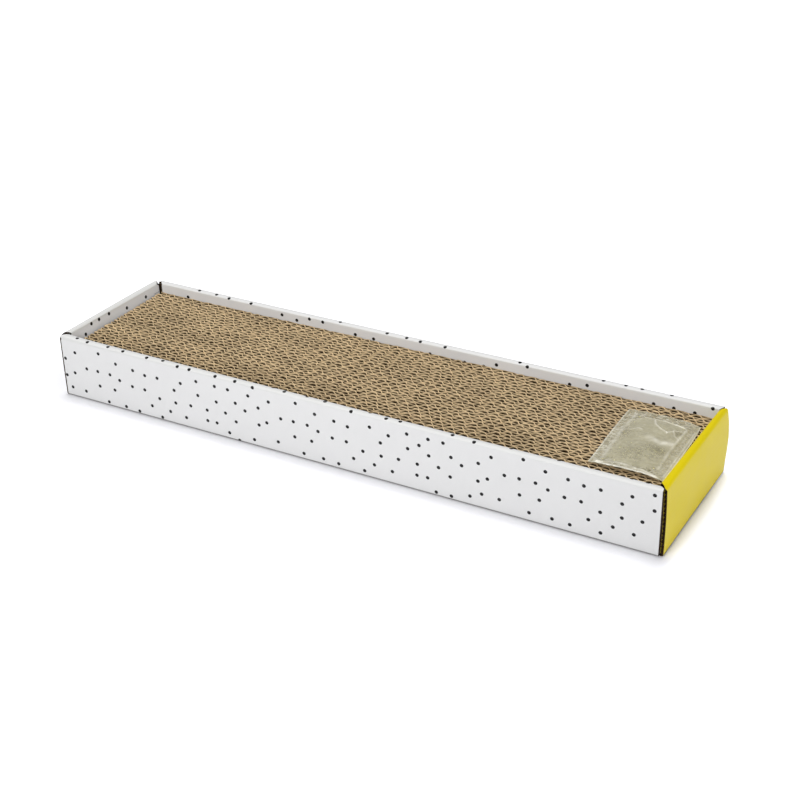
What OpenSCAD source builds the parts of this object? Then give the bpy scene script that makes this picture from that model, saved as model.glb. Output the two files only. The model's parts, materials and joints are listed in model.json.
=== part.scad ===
/* [Tray] */
// Outer length of the tray, along X
tray_length = 480; // [320:10:700]
// Outer depth of the tray, along Y
tray_depth = 118.8; // [94:0.2:260]
// Height of the tray from the floor to the crown of its rims
tray_height = 50; // [34:1:90]
// Thickness of the printed corrugated board
board = 2.4; // [1.8:0.1:3]
// Gap between the two plies of a long wall
long_wall_gap = 0.8; // [0.3:0.1:2]
// Play of a tucked flap between the two plies of an end wall
end_wall_play = 0.3; // [0.1:0.1:1]
// Rounding of the folds along the floor
floor_fold_radius = 1.2; // [0.5:0.1:1.6]

/* [Rims] */
// Fall of a long rim from its crown to the outer crease
long_rim_fall = 1.4; // [0.6:0.1:3]
// Fall of a long rim from its crown to the inner crease
long_rim_inner_fall = 1.2; // [0.6:0.1:3]
// Fall of an end rim from its crown to the outer crease
end_rim_fall = 4; // [2:0.1:6]
// Run of an end rim from the outer face to its crown
end_rim_run = 4.3; // [3:0.1:5]
// Fall of an end rim from its crown to the inner crease
end_rim_inner_fall = 1.8; // [0.8:0.1:3]
// Distance that each mitred end of a rim keeps from the corner's diagonal, along the rim
mitre_play = 0.3; // [0.1:0.1:1]
// Gap between the end of a long wall's inner ply and the end wall beside it
ply_end_gap = 2.4; // [0.4:0.1:4]
// Gap between the end of an end wall's inner ply and the long wall beside it
end_ply_gap = 1.2; // [0.4:0.1:4]
// Distance that the raw edge of an end wall stays behind the long wall's face
raw_edge_setback = 1.7; // [0.5:0.1:2.2]

/* [Tucked flaps and locks] */
// Length of a corner flap inside its end wall
flap_length = 42; // [20:1:45]
// Gap between a corner flap and the base panel
flap_floor_gap = 0.8; // [0.3:0.1:2]
// Gap between a corner flap and the rim over it
flap_rim_gap = 2; // [0.5:0.1:5]
// Width of a lock tab under an end wall's inner ply
tab_width = 18; // [8:1:24]
// Distance from the middle of the tray to the middle of a lock tab
tab_offset = 27; // [16:1:30]
// Clearance round a lock tab in its slot
slot_clearance = 0.3; // [0.1:0.05:0.6]
// Distance that a lock tab stays above the floor
tab_floor_gap = 0.3; // [0.1:0.1:0.8]

/* [Scratching pad] */
// Drop from the crown of the rims to the top of the pad
pad_recess = 7.5; // [4:0.5:20]
// Spacing of the glued strips across the pad
strip_pitch = 3.95; // [3:0.05:7]
// Glue line between two strips
glue_line = 0.05; // [0.02:0.01:0.2]
// Length of one flute of the corrugation
flute_pitch = 8.75; // [6:0.05:14]
// Thickness of the papers of a strip
paper = 0.3; // [0.2:0.05:0.5]
// Least play between the pad and each long wall
pad_side_play = 0.2; // [0.1:0.05:2]
// Play between the pad and each end wall
pad_end_play = 0.6; // [0.3:0.1:4]
// Gap between the pad and the base panel
pad_floor_gap = 0.3; // [0.1:0.1:1]

/* [Catnip sachet] */
// Size of the sachet along the tray
sachet_width = 54; // [30:1:80]
// Size of the sachet across the tray
sachet_length = 83; // [40:1:86]
// Width of the heat-sealed border
seal_width = 6; // [3:0.5:10]
// Height of the sachet over its filling
sachet_height = 6; // [3:0.5:12]
// Thickness of each film, a little over the real one
film = 0.3; // [0.2:0.05:0.5]
// Clearance between the filling and the films
fill_clearance = 0.3; // [0.1:0.05:0.6]
// Distance from the sachet to the end of the pad
sachet_end_gap = 0.4; // [0:0.1:20]
// Offset of the sachet from the middle of the tray, towards the back
sachet_offset = 0.4; // [-10:0.1:10]
// Gap between the sachet and the top of the pad
sachet_rest_gap = 0.3; // [0.1:0.1:1]

/* [Hidden] */

// Thickness of the finished walls
long_wall = 2 * board + long_wall_gap;
end_wall = 3 * board + end_wall_play;

// Inner faces of the walls, measured from the middle of the tray
inner_half_length = tray_length / 2 - end_wall;
inner_half_depth = tray_depth / 2 - long_wall;

// Half spans of the panels
outer_ply_half_span = tray_length / 2 - board;
inner_ply_half_span = inner_half_length - ply_end_gap;
end_outer_half_span = tray_depth / 2 - raw_edge_setback;
end_inner_half_span = inner_half_depth - end_ply_gap;

// Pad
pad_top = tray_height - pad_recess;
pad_bottom = board + pad_floor_gap;
pad_height = pad_top - pad_bottom;
strip_length = 2 * (inner_half_length - pad_end_play);
strip_thickness = strip_pitch - glue_line;
strip_count = floor((2 * (inner_half_depth - pad_side_play) + glue_line) / strip_pitch);
pad_depth = strip_count * strip_pitch - glue_line;
// Share of a flute that lies flat against a liner at each crest
crest_share = 0.1;
// Shares that move the flutes of one strip against those of the strip before it
flute_step_share = 0.38;
flute_drift_share = 0.17;
// Height of the medium's cut face, measured square to the liners on its slopes
crest_rise = strip_thickness - paper;
slope_run = (0.5 - crest_share) * flute_pitch;
medium_rise = paper * sqrt(1 + pow(crest_rise / slope_run, 2));

// Sachet
sachet_x = inner_half_length - pad_end_play - sachet_end_gap - sachet_width / 2;
sachet_bottom = pad_top + sachet_rest_gap;
back_film_top = sachet_bottom + film;
film_gap = 0.05;
front_film_bottom = back_film_top + film_gap;
pillow_power = 4;
pillow_steps = 14;

// Facets of a rounded fold and shape of the rims
fold_steps = 5;
rim_steps = 8;
long_rim_power = 2;
end_rim_power = 1.4;
overrun = 1;

white_print = "#e6e6e7";
yellow_print = "#dccb1e";
kraft = "#b4946a";
clear_film = "#d6d3c0";
dried_herb = "#7d8052";

function strip_name(i) = str("pad_strip_", i < 10 ? "0" : "", i);

// Outline of a wall that is folded over: s runs inwards from the outer face and z runs up.

// A quarter turn of a rim from its crease to its crown, as shares of the run and of the fall
function rim_share(step, power) =
    let (turn = 90 * step / rim_steps)
    [1 - pow(cos(turn), 2 / power), pow(sin(turn), 2 / power)];

// Points from the outer crease over the crown to the inner crease
function rim_points(near, far, run, crown, outer_fall, inner_fall, power) = concat(
    [for (i = [0:rim_steps])
        let (share = rim_share(i, power))
        [near + run * share[0], crown - outer_fall + outer_fall * share[1]]],
    [for (i = [rim_steps - 1:-1:0])
        let (share = rim_share(i, power))
        [far - (far - near - run) * share[0], crown - inner_fall + inner_fall * share[1]]]
);

// The fold between the base panel and a wall, from the floor up to the outer face
function floor_fold_points() =
    [for (i = [0:fold_steps])
        let (turn = 90 * i / fold_steps)
        [floor_fold_radius * (1 - sin(turn)), floor_fold_radius * (1 - cos(turn))]];

// A whole wall: outer ply, rim and inner ply, as one folded sheet
module wall_section(thickness, run, outer_fall, inner_fall, power) {
    hollow_crown = tray_height - board;
    hollow_near = board;
    hollow_far = thickness - board;
    hollow_run = (hollow_far - hollow_near) * run / thickness;
    hollow_outer_fall = outer_fall * (hollow_far - hollow_near) / thickness;
    hollow_inner_fall = inner_fall * (hollow_far - hollow_near) / thickness;
    hollow = rim_points(
        hollow_near, hollow_far, hollow_run, hollow_crown, hollow_outer_fall, hollow_inner_fall, power
    );
    polygon(concat(
        [[board, 0]],
        floor_fold_points(),
        rim_points(0, thickness, run, tray_height, outer_fall, inner_fall, power),
        [[thickness, board], [hollow_far, board]],
        [for (i = [len(hollow) - 1:-1:0]) hollow[i]]
    ));
}

module long_wall_section() {
    wall_section(long_wall, long_wall / 2, long_rim_fall, long_rim_inner_fall, long_rim_power);
}

module end_wall_section() {
    wall_section(end_wall, end_rim_run, end_rim_fall, end_rim_inner_fall, end_rim_power);
}

// Places a section so that it runs along X, with its outer face at the front of the tray
module along_front(half_span) {
    translate([-half_span, -tray_depth / 2, 0])
        rotate([90, 0, 90])
        linear_extrude(2 * half_span)
        children();
}

// Places a section so that it runs along Y, with its outer face at the right end of the tray
module along_right_end(half_span) {
    translate([tray_length / 2, -half_span, 0])
        rotate([90, 0, 180])
        linear_extrude(2 * half_span)
        children();
}

// Room for a rim of the given run along the front, between the diagonals of the two front corners
module front_mitre(run) {
    near = tray_length / 2 - mitre_play;
    far = near - run;
    linear_extrude(tray_height + overrun)
        translate([0, -tray_depth / 2])
        polygon([[-near, 0], [near, 0], [far, run], [-far, run]]);
}

// Room for a rim of the given run along the right end, between the diagonals of its two corners
module right_end_mitre(run) {
    near = tray_depth / 2 - mitre_play;
    far = near - run;
    linear_extrude(tray_height + overrun)
        translate([tray_length / 2, 0])
        polygon([[0, -near], [0, near], [-run, far], [-run, -far]]);
}

module long_wall_panel() {
    crease = tray_height - long_rim_fall;
    // The outer ply
    along_front(outer_ply_half_span)
        intersection() {
            long_wall_section();
            square([board, crease]);
        }
    // The rim, with its mitred ends
    intersection() {
        along_front(outer_ply_half_span)
            intersection() {
                long_wall_section();
                translate([0, crease - board]) square([long_wall, board + long_rim_fall]);
            }
        front_mitre(long_wall);
    }
    // The inner ply
    along_front(inner_ply_half_span)
        intersection() {
            long_wall_section();
            translate([long_wall - board, 0]) square([board, tray_height]);
        }
}

module end_wall_panel() {
    crease = tray_height - end_rim_fall;
    // The outer ply
    along_right_end(end_outer_half_span)
        intersection() {
            end_wall_section();
            square([board, crease]);
        }
    // The rim, with its mitred ends
    intersection() {
        along_right_end(end_outer_half_span)
            intersection() {
                end_wall_section();
                translate([0, crease - board]) square([end_wall, board + end_rim_fall]);
            }
        right_end_mitre(end_wall);
    }
    // The inner ply
    along_right_end(end_inner_half_span)
        intersection() {
            end_wall_section();
            translate([end_wall - board, 0]) square([board, crease]);
        }
    // The lock tabs under the inner ply
    for (side = [-1, 1])
        translate([inner_half_length, side * tab_offset - tab_width / 2, tab_floor_gap])
            cube([board, tab_width, 2 * board - tab_floor_gap]);
}

module base_panel() {
    slot = [board + 2 * slot_clearance, tab_width + 2 * slot_clearance];
    color(white_print)
        linear_extrude(board)
        difference() {
            square([2 * outer_ply_half_span, tray_depth - 2 * board], center = true);
            for (end = [-1, 1])
                for (side = [-1, 1])
                    translate([end * (inner_half_length + board / 2), side * tab_offset])
                        square(slot, center = true);
        }
}

module front_wall() {
    color(white_print) long_wall_panel();
}

module back_wall() {
    color(white_print) mirror([0, 1, 0]) long_wall_panel();
}

module left_end_wall() {
    color(white_print) mirror([1, 0, 0]) end_wall_panel();
}

module right_end_wall() {
    color(yellow_print) end_wall_panel();
}

// A corner flap, folded from the end of a long wall and tucked inside the end wall
module corner_flap() {
    bottom = board + flap_floor_gap;
    top = tray_height - board - end_rim_fall - flap_rim_gap;
    color(white_print)
        translate([tray_length / 2 - 2 * board, -tray_depth / 2 + board, bottom])
        cube([board, flap_length, top - bottom]);
}

module front_right_flap() {
    corner_flap();
}

module front_left_flap() {
    mirror([1, 0, 0]) corner_flap();
}

module back_right_flap() {
    mirror([0, 1, 0]) corner_flap();
}

module back_left_flap() {
    mirror([1, 0, 0]) mirror([0, 1, 0]) corner_flap();
}

// Corrugated strips, standing on edge

function fraction(value) = value - floor(value);

// Height of the medium's middle line as a share of its rise, at a share of one flute
function flute_share(at) =
    at < crest_share ? 0 :
    at < 0.5 ? (at - crest_share) / (0.5 - crest_share) :
    at < 0.5 + crest_share ? 1 :
    1 - (at - 0.5 - crest_share) / (0.5 - crest_share);

// Places along a strip where the medium bends, with both ends of the strip
function bend_places(phase_share) = concat(
    [0],
    [for (i = [0:ceil(strip_length / flute_pitch)], corner_share = [0, crest_share, 0.5, 0.5 + crest_share])
        let (place = (i + corner_share - phase_share) * flute_pitch)
        if (place > 0 && place < strip_length) place],
    [strip_length]
);

// Middle line of the medium
function medium_line(phase_share) =
    [for (place = bend_places(phase_share))
        let (at = fraction(place / flute_pitch + phase_share))
        [place, paper / 2 + crest_rise * flute_share(at)]];

module strip_profile(phase_share) {
    line = medium_line(phase_share);
    last = len(line) - 1;
    square([strip_length, paper]);
    translate([0, strip_thickness - paper]) square([strip_length, paper]);
    intersection() {
        square([strip_length, strip_thickness]);
        polygon(concat(
            [for (p = line) [p[0], p[1] - medium_rise / 2]],
            [for (i = [last:-1:0]) [line[i][0], line[i][1] + medium_rise / 2]]
        ));
    }
}

module pad_strip(i) {
    phase_share = fraction(i * flute_step_share + i * i * flute_drift_share);
    color(kraft)
        translate([-strip_length / 2, -pad_depth / 2 + (i - 1) * strip_pitch, pad_bottom])
        linear_extrude(pad_height)
        strip_profile(phase_share);
}

// Sachet: two films sealed round their border over a loose filling

// Height of the pillow as a share of its crown, from shares of its half width and half length
function pillow_share(across, along) =
    (1 - pow(abs(across), pillow_power)) * (1 - pow(abs(along), pillow_power));

// A closed pillow of the given half sizes, between a flat or pillowed underside and a pillowed top
module pillow(half_width, half_length, under, top, crown_under, crown_top) {
    count = pillow_steps + 1;
    shares = [for (i = [0:pillow_steps]) 2 * i / pillow_steps - 1];
    lower = [for (a = shares, b = shares)
        [half_width * a, half_length * b, under + crown_under * pillow_share(a, b)]];
    upper = [for (a = shares, b = shares)
        [half_width * a, half_length * b, top + crown_top * pillow_share(a, b)]];
    size = count * count;
    quads = [for (i = [0:pillow_steps - 1], j = [0:pillow_steps - 1])
        [i * count + j, i * count + j + 1, (i + 1) * count + j + 1, (i + 1) * count + j]];
    rim = concat(
        [for (j = [0:pillow_steps - 1]) j],
        [for (i = [0:pillow_steps - 1]) i * count + pillow_steps],
        [for (j = [pillow_steps:-1:1]) pillow_steps * count + j],
        [for (i = [pillow_steps:-1:1]) i * count]
    );
    polyhedron(
        points = concat(lower, upper),
        faces = concat(
            [for (q = quads) [q[0], q[1], q[2]]],
            [for (q = quads) [q[0], q[2], q[3]]],
            [for (q = quads) [size + q[0], size + q[2], size + q[1]]],
            [for (q = quads) [size + q[0], size + q[3], size + q[2]]],
            [for (i = [0:len(rim) - 1])
                let (next = (i + 1) % len(rim))
                [rim[i], size + rim[i], size + rim[next]]],
            [for (i = [0:len(rim) - 1])
                let (next = (i + 1) % len(rim))
                [rim[i], size + rim[next], rim[next]]]
        )
    );
}

module sachet_back_film() {
    color(clear_film)
        translate([sachet_x, sachet_offset, sachet_bottom])
        linear_extrude(film)
        square([sachet_width, sachet_length], center = true);
}

fill_half_width = sachet_width / 2 - seal_width;
fill_half_length = sachet_length / 2 - seal_width;
fill_crown = sachet_height - 2 * film - 2 * fill_clearance;

module sachet_front_film() {
    color(clear_film)
        translate([sachet_x, sachet_offset, 0])
        pillow(
            sachet_width / 2, sachet_length / 2, front_film_bottom, front_film_bottom + film,
            sachet_height - 2 * film, sachet_height - 2 * film
        );
}

module catnip_fill() {
    color(dried_herb)
        translate([sachet_x, sachet_offset, 0])
        pillow(
            fill_half_width, fill_half_length, back_film_top + fill_clearance,
            back_film_top + fill_clearance + fill_clearance, 0, fill_crown - 2 * fill_clearance
        );
}

base_panel();
front_wall();
back_wall();
left_end_wall();
right_end_wall();
front_left_flap();
front_right_flap();
back_left_flap();
back_right_flap();
for (i = [1:strip_count])
    pad_strip(i);
sachet_back_film();
catnip_fill();
sachet_front_film();
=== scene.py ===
"""A cardboard cat scratcher for Blender 4.5: folded and printed tray, corrugated pad and catnip sachet.

Sizes in the classes are in millimetres, in the frame's axes: X along the tray, Y towards its back and Z up.
They become metres when a mesh is written.
"""

from __future__ import annotations

import json
import logging
import math
import random
from collections.abc import Sequence
from dataclasses import dataclass, replace
from enum import Enum

import bmesh
import bpy
from mathutils import Matrix, Vector, noise

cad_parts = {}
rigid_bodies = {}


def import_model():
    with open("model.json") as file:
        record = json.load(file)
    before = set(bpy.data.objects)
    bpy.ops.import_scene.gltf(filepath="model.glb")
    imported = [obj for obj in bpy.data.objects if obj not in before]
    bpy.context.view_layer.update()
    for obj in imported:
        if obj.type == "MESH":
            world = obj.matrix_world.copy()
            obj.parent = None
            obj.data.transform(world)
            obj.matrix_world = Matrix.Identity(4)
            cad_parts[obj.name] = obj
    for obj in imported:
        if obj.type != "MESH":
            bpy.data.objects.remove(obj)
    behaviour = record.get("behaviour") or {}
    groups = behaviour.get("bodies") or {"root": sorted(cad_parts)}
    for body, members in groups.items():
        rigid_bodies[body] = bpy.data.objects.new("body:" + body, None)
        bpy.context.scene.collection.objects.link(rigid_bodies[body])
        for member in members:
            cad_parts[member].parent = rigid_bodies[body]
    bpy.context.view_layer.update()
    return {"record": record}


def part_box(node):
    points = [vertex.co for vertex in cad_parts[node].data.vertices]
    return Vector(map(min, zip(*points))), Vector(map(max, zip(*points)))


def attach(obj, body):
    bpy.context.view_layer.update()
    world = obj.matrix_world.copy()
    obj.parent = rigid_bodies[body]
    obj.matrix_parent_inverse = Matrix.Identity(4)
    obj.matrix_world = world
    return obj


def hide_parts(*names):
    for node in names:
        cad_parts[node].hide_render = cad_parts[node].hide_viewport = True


MM = 0.001
FLUTE_PITCH = 3.4
WHITE = (1.0, 1.0, 1.0, 1.0)
LOG = logging.getLogger("cat_scratcher")

Point = tuple[float, float]
Socket = bpy.types.NodeSocket
Material = bpy.types.Material
Mesh = bpy.types.Mesh
Shape = bmesh.types.BMesh
Faces = Sequence[bmesh.types.BMFace]


def unit(value: float) -> float:
    """Keeps a value between 0 and 1."""
    return min(max(value, 0), 1)


def wander(x: float, y: float, z: float) -> float:
    """Gives a smooth random value at a place."""
    return noise.noise(Vector((x, y, z)))


# Node trees


class Tree:
    """A node tree with short calls that add and join its nodes."""

    def __init__(self, tree: bpy.types.NodeTree) -> None:
        """Keeps the tree that the calls work on."""
        self.tree = tree

    def feed(self, node: bpy.types.Node, inputs: dict[str | int, object]) -> None:
        """Fills a node's inputs.

        Args:
            node: The node.
            inputs: A value, or another node's output socket, for each input by name or number.
        """
        for name, value in inputs.items():
            if isinstance(value, Socket):
                self.tree.links.new(value, node.inputs[name])
            else:
                node.inputs[name].default_value = value

    def add(self, kind: str, inputs: dict[str | int, object], **settings: object) -> bpy.types.Node:
        """Adds a node.

        Args:
            kind: The node's type, without its ShaderNode prefix.
            inputs: What its inputs are given.
            settings: Values of the node's own properties.

        Returns:
            The new node.
        """
        node = self.tree.nodes.new("ShaderNode" + kind)
        for name, value in settings.items():
            setattr(node, name, value)
        self.feed(node, inputs)
        return node

    def place(self) -> Socket:
        """Gives the place on the piece, in its Object coordinates."""
        return self.add("TexCoord", {}).outputs["Object"]

    def attribute(self, name: str) -> Socket:
        """Gives the value of one of the mesh's own attributes."""
        return self.add("Attribute", {}, attribute_name=name).outputs["Fac"]

    def math(self, operation: str, *values: object) -> Socket:
        """Gives the result of a Math node on numbers or sockets."""
        return self.add("Math", dict(enumerate(values)), operation=operation).outputs[0]

    def mix(self, share: object, first: object, second: object) -> Socket:
        """Mixes a share of a second colour into a first one."""
        return self.add("Mix", {0: share, 6: first, 7: second}, data_type="RGBA").outputs[2]

    def ramp(self, value: object, low: float, high: float, start: float = 0, stop: float = 1) -> Socket:
        """Maps a value smoothly from the range of low to high to the range of start to stop."""
        inputs = {0: value, 1: low, 2: high, 3: start, 4: stop}
        return self.add("MapRange", inputs, interpolation_type="SMOOTHSTEP").outputs[0]

    def grain(self, at: Socket, scale: float, detail: float, rough: float = 0.5, bent: float = 0) -> Socket:
        """Gives a noise of some scale, detail, roughness and distortion."""
        inputs = {"Vector": at, "Scale": scale, "Detail": detail, "Roughness": rough, "Distortion": bent}
        return self.add("TexNoise", inputs).outputs[0]

    def sway(self, value: Socket, amount: object) -> Socket:
        """Centres a noise on zero and scales it."""
        return self.math("MULTIPLY", self.math("SUBTRACT", value, 0.5), amount)

    def shade(self, base: Socket, factor: Socket) -> Socket:
        """Makes a colour darker or lighter by a factor."""
        return self.add("VectorMath", {0: base, "Scale": factor}, operation="SCALE").outputs[0]

    def bump(self, height: Socket, strength: float, distance: float) -> Socket:
        """Turns a height into a normal."""
        return self.add("Bump", {"Height": height, "Strength": strength, "Distance": distance}).outputs[0]


def colour(code: str) -> tuple[float, float, float, float]:
    """Turns a screen colour into the linear colour of a socket.

    Args:
        code: Six hexadecimal digits.

    Returns:
        Red, green, blue and alpha.
    """
    shares = [int(code[i : i + 2], 16) / 255 for i in (0, 2, 4)]
    linear = [s / 12.92 if s <= 0.04045 else ((s + 0.055) / 1.055) ** 2.4 for s in shares]
    return linear[0], linear[1], linear[2], 1.0


class EffectGroup(Tree):
    """A node group for an effect that several materials share."""

    def __init__(self, name: str, inputs: dict[str, tuple[str, object]], outputs: dict[str, str]) -> None:
        """Starts the group.

        Args:
            name: Name of the group.
            inputs: Kind and default value of each input, by name.
            outputs: Kind of each output, by name.
        """
        super().__init__(bpy.data.node_groups.new(name, "ShaderNodeTree"))
        sockets = self.tree.interface
        for key, (kind, value) in inputs.items():
            sockets.new_socket(key, in_out="INPUT", socket_type="NodeSocket" + kind).default_value = value
        for key, kind in outputs.items():
            sockets.new_socket(key, in_out="OUTPUT", socket_type="NodeSocket" + kind)
        self.given = self.tree.nodes.new("NodeGroupInput").outputs
        self.leave = self.tree.nodes.new("NodeGroupOutput")


class Effects:
    """Node groups that several finishes share, each built once."""

    def __init__(self) -> None:
        """Builds the groups."""
        self.fibre = self._fibre()
        self.board = self._board()

    def _fibre(self) -> bpy.types.NodeTree:
        """Builds the speckle and fine fibres of kraft paper.

        Returns:
            A group that gives a shade and a height.
        """
        tree = EffectGroup("kraft_fibre", {"Contrast": ("Float", 0.2)}, {"Shade": "Float", "Height": "Float"})
        place = tree.place()
        stretched = tree.add("Mapping", {"Vector": place, "Scale": (1.0, 1.0, 0.35)}).outputs[0]
        fine = tree.grain(stretched, 2600.0, 3.0, 0.65)
        broad = tree.grain(place, 95.0, 2.0)
        both = tree.math("ADD", tree.math("MULTIPLY", fine, 0.6), tree.math("MULTIPLY", broad, 0.4))
        speckle = tree.math("MULTIPLY", tree.sway(both, tree.given["Contrast"]), 2.0)
        tree.feed(tree.leave, {"Shade": tree.math("ADD", speckle, 1.0), "Height": fine})
        return tree.tree

    def _board(self) -> bpy.types.NodeTree:
        """Builds the mottle of printed paper and the faint ribs of the flutes under it.

        Returns:
            A group that gives a colour, a roughness and a height.
        """
        inputs = {"Base": ("Color", WHITE), "Mottle": ("Float", 0.03), "Across": ("Vector", (1.0, 0.0, 0.0))}
        kinds = {"Color": "Color", "Roughness": "Float", "Height": "Float"}
        tree = EffectGroup("printed_board", inputs, kinds)
        place, given = tree.place(), tree.given
        cloudy = tree.grain(place, 38.0, 4.0, 0.6)
        grainy = tree.grain(place, 1500.0, 2.0)
        broad = tree.sway(cloudy, tree.math("MULTIPLY", given["Mottle"], 2.0))
        bright = tree.math("ADD", tree.math("ADD", broad, tree.sway(grainy, given["Mottle"])), 1.0)
        along = tree.add("VectorMath", {0: place, 1: given["Across"]}, operation="DOT_PRODUCT")
        turns = tree.math("MULTIPLY", along.outputs["Value"], 2 * math.pi / (MM * FLUTE_PITCH))
        rib = tree.math("MULTIPLY", tree.math("SINE", turns), 0.5)
        outputs = {
            "Color": tree.shade(given["Base"], bright),
            "Roughness": tree.ramp(cloudy, 0.3, 0.7, 0.42, 0.5),
            "Height": tree.math("ADD", rib, tree.math("MULTIPLY", grainy, 0.25)),
        }
        tree.feed(tree.leave, outputs)
        return tree.tree


# Finishes


class Run(Enum):
    """Direction in which a wall runs, which turns the ribs of its flutes."""

    LONG = (1.0, 0.0, 0.0)
    END = (0.0, 0.0, 1.0)


def new_material(name: str) -> tuple[Material, Tree, bpy.types.Node]:
    """Starts a material.

    Args:
        name: Name of the material.

    Returns:
        The material, its tree and its Principled shader.
    """
    material = bpy.data.materials.new(name)
    material.use_nodes = True
    return material, Tree(material.node_tree), material.node_tree.nodes["Principled BSDF"]


@dataclass(frozen=True)
class PrintFinish:
    """Printed and lacquered face of the board, with painted shade on its rim and foot and a painted highlight
    on the rim.
    """

    name: str
    face: str
    rim: str
    mottle: float = 0.02
    specular: float = 0.3
    rib_height: float = 0.00002
    rim_from: float = 47.6
    rim_to: float = 49.0
    # foot is the colour of a painted contact shade along the bottom of the face
    foot: str = "4f4c48"
    foot_shade_top: float = 1.7
    # worn is the colour of a painted highlight on the rim's inner side
    worn: str = ""
    highlight_from: float = 234.3
    highlight_to: float = 235.4
    highlight_slant: float = 0.017

    def material(self, effects: Effects, run: Run) -> Material:
        """Makes the material.

        Args:
            effects: The shared node groups.
            run: Direction of the wall that wears it.

        Returns:
            The material.
        """
        material, tree, shader = new_material(f"{self.name}_{run.name.lower()}")
        x, y, z = tree.add("SeparateXYZ", {0: tree.place()}).outputs
        # The rim's own colour is painted shade, darker so that the top doesn't look brighter under the light
        # from above
        shaded_rim_share = tree.ramp(z, self.rim_from * MM, self.rim_to * MM)
        base = tree.mix(shaded_rim_share, colour(self.face), colour(self.rim))
        # A dark band at the foot is painted contact shade
        foot_shade_share = tree.ramp(z, 0.25 * self.foot_shade_top * MM, self.foot_shade_top * MM, 1.0, 0.0)
        base = tree.mix(foot_shade_share, base, colour(self.foot))
        if self.worn:
            # The rim narrows towards the back, so the painted highlight on its inner side slants with it
            side = tree.math("SUBTRACT", x, tree.math("MULTIPLY", y, self.highlight_slant))
            inside = tree.ramp(side, self.highlight_from * MM, self.highlight_to * MM, 1.0, 0.0)
            base = tree.mix(tree.math("MULTIPLY", inside, shaded_rim_share), base, colour(self.worn))
        inputs = {"Base": base, "Mottle": self.mottle, "Across": run.value}
        board = tree.add("Group", inputs, node_tree=effects.board).outputs
        looks = {
            "Base Color": board["Color"],
            "Roughness": board["Roughness"],
            "Normal": tree.bump(board["Height"], 1.0, self.rib_height),
            "Specular IOR Level": self.specular,
        }
        tree.feed(shader, looks)
        return material


@dataclass(frozen=True)
class KraftFinish:
    """Unbleached brown paper, whose dark share is drawn or comes from the mesh's tones, which in the pad hold
    painted shade in its cells.
    """

    name: str
    base: str
    dark: str
    contrast: float = 0.25
    toned: bool = False
    fibre_height: float = 0.00008
    roughness: float = 0.92

    def material(self, effects: Effects) -> Material:
        """Makes the material.

        Args:
            effects: The shared node groups.

        Returns:
            The material.
        """
        material, tree, shader = new_material(self.name)
        fibre = tree.add("Group", {}, node_tree=effects.fibre)
        tree.feed(fibre, {"Contrast": self.contrast})
        tone = tree.attribute("tone") if self.toned else tree.grain(tree.place(), 22.0, 2.0)
        base = tree.mix(tone, colour(self.dark), colour(self.base))
        looks = {
            "Base Color": tree.shade(base, fibre.outputs["Shade"]),
            "Normal": tree.bump(fibre.outputs["Height"], 0.6, self.fibre_height),
            "Roughness": self.roughness,
            "Specular IOR Level": 0.2,
        }
        tree.feed(shader, looks)
        return material


@dataclass(frozen=True)
class FilmFinish:
    """Clear, slightly cloudy film of the sachet, with a painted highlight on its creases and edges."""

    name: str
    tint: str
    glint: str

    def material(self) -> Material:
        """Makes the material.

        Returns:
            The material.
        """
        material, tree, shader = new_material(self.name)
        place = tree.place()
        cloud = tree.grain(place, 110.0, 4.0, 0.6, 0.6)
        wrinkle = tree.grain(place, 330.0, 3.0, bent=1.2)
        # The glint colour is a painted highlight on the film's creases and edges
        base = tree.mix(tree.attribute("ridge"), colour(self.tint), colour(self.glint))
        milky = tree.math("ADD", tree.attribute("haze"), tree.sway(cloud, 0.25))
        looks = {
            "Base Color": tree.shade(base, tree.math("ADD", 0.9, tree.math("MULTIPLY", cloud, 0.2))),
            "Roughness": tree.ramp(cloud, 0.3, 0.7, 0.16, 0.32),
            "Alpha": tree.math("MINIMUM", tree.math("MAXIMUM", milky, 0.08), 1.0),
            "Normal": tree.bump(wrinkle, 0.4, 0.0003),
            "IOR": 1.45,
            "Specular IOR Level": 0.6,
        }
        tree.feed(shader, looks)
        return material


@dataclass(frozen=True)
class HerbFinish:
    """Dried leaves and stalks, from dark green to straw."""

    name: str
    leaf: str
    stalk: str

    def material(self) -> Material:
        """Makes the material.

        Returns:
            The material.
        """
        material, tree, shader = new_material(self.name)
        share = tree.math("ADD", tree.attribute("tone"), tree.sway(tree.grain(tree.place(), 900.0, 3.0), 0.5))
        base = tree.mix(share, colour(self.leaf), colour(self.stalk))
        tree.feed(shader, {"Base Color": base, "Roughness": 0.85})
        return material


# The rims' darker colours are painted shade against the light from above, and every foot colour is painted
# contact shade.
WHITE_PRINT = PrintFinish("white_print", "e2e2e3", "e2e2e1")
FRONT_PRINT = replace(WHITE_PRINT, name="front_print", rim="dadad9", rim_from=46.2, rim_to=48.4)
END_PRINT = replace(WHITE_PRINT, rim="dcdcda")
# The yellow face is paler than its rim: its colour holds a painted sheen.
YELLOW_PRINT = PrintFinish(
    "yellow_print", "fbe53c", "dfca00", specular=0.12, rim_from=48.0, rim_to=49.4, foot="4f4513",
    # The worn colour is a painted highlight on the rim's inner side
    worn="f6ea80",
)
DOT_INK = PrintFinish("dot_ink", "0e0a0d", "0e0a0d", mottle=0.1, foot="0e0a0d")
BOARD_KRAFT = KraftFinish("board_kraft", "66503a", "38291b")
# The pad's dark colour is the painted shade deep in its cells
PAD_KRAFT = KraftFinish("pad_kraft", "e6cba0", "33210c", contrast=0.3, toned=True)
CLEAR_FILM = FilmFinish("clear_film", "d4ceb2", "fdfaee")
HERB = HerbFinish("dried_catnip", "5f5c2c", "efe8b0")


# Meshes


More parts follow.
